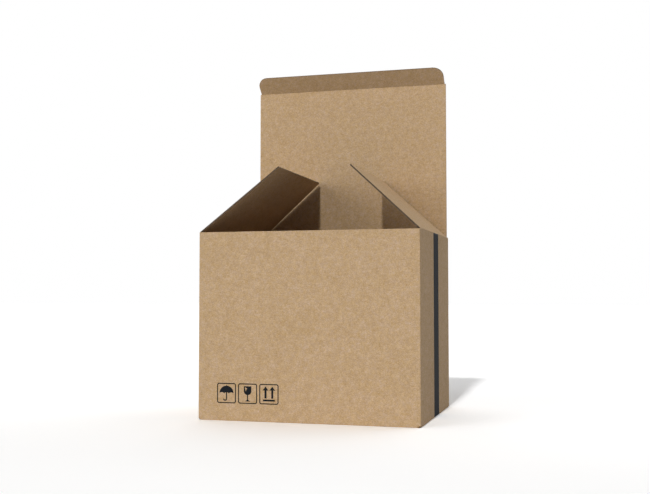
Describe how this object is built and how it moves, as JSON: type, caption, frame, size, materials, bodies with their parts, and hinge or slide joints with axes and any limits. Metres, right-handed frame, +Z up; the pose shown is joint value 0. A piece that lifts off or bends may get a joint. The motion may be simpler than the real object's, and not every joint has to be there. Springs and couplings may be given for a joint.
{
  "type": "snap lock bottom box",
  "caption": "Small folding carton of brown kraft board with a snap lock bottom, a hinged tuck lid and two dust flaps, standing open.",
  "frame": {"origin": "centre of the base, on the surface the carton stands on", "axes": "+Z up, +Y from the front wall to the back wall that carries the lid, +X to the right as seen from the front"},
  "size_m": [0.1502, 0.1201, 0.253],
  "materials": {
    "kraft_board": "matte",
    "dark_ink": "matte"
  },
  "bodies": {
    "carton": {"carton_body": "kraft_board", "side_stripe": "dark_ink", "handling_marks": "dark_ink"},
    "lid": {"lid": "kraft_board"},
    "tuck_flap": {"tuck_flap": "kraft_board"},
    "left_dust_flap": {"left_dust_flap": "kraft_board"},
    "right_dust_flap": {"right_dust_flap": "kraft_board"}
  },
  "joints": [
    {"name": "lid_hinge", "type": "hinge", "parent": "carton", "child": "lid", "pos_m": [0, 0.06, 0.1265], "axis": [1, 0, 0], "range_deg": [-160, 2.2]},
    {"name": "tuck_hinge", "type": "hinge", "parent": "lid", "child": "tuck_flap", "pos_m": [0, 0.06, 0.2424], "axis": [1, 0, 0], "range_deg": [-45, 45]},
    {"name": "left_dust_hinge", "type": "hinge", "parent": "carton", "child": "left_dust_flap", "pos_m": [-0.075, 0, 0.1254], "axis": [0, 1, 0], "range_deg": [-218, 42]},
    {"name": "right_dust_hinge", "type": "hinge", "parent": "carton", "child": "right_dust_flap", "pos_m": [0.075, 0, 0.1254], "axis": [0, -1, 0], "range_deg": [-218, 42]}
  ]
}
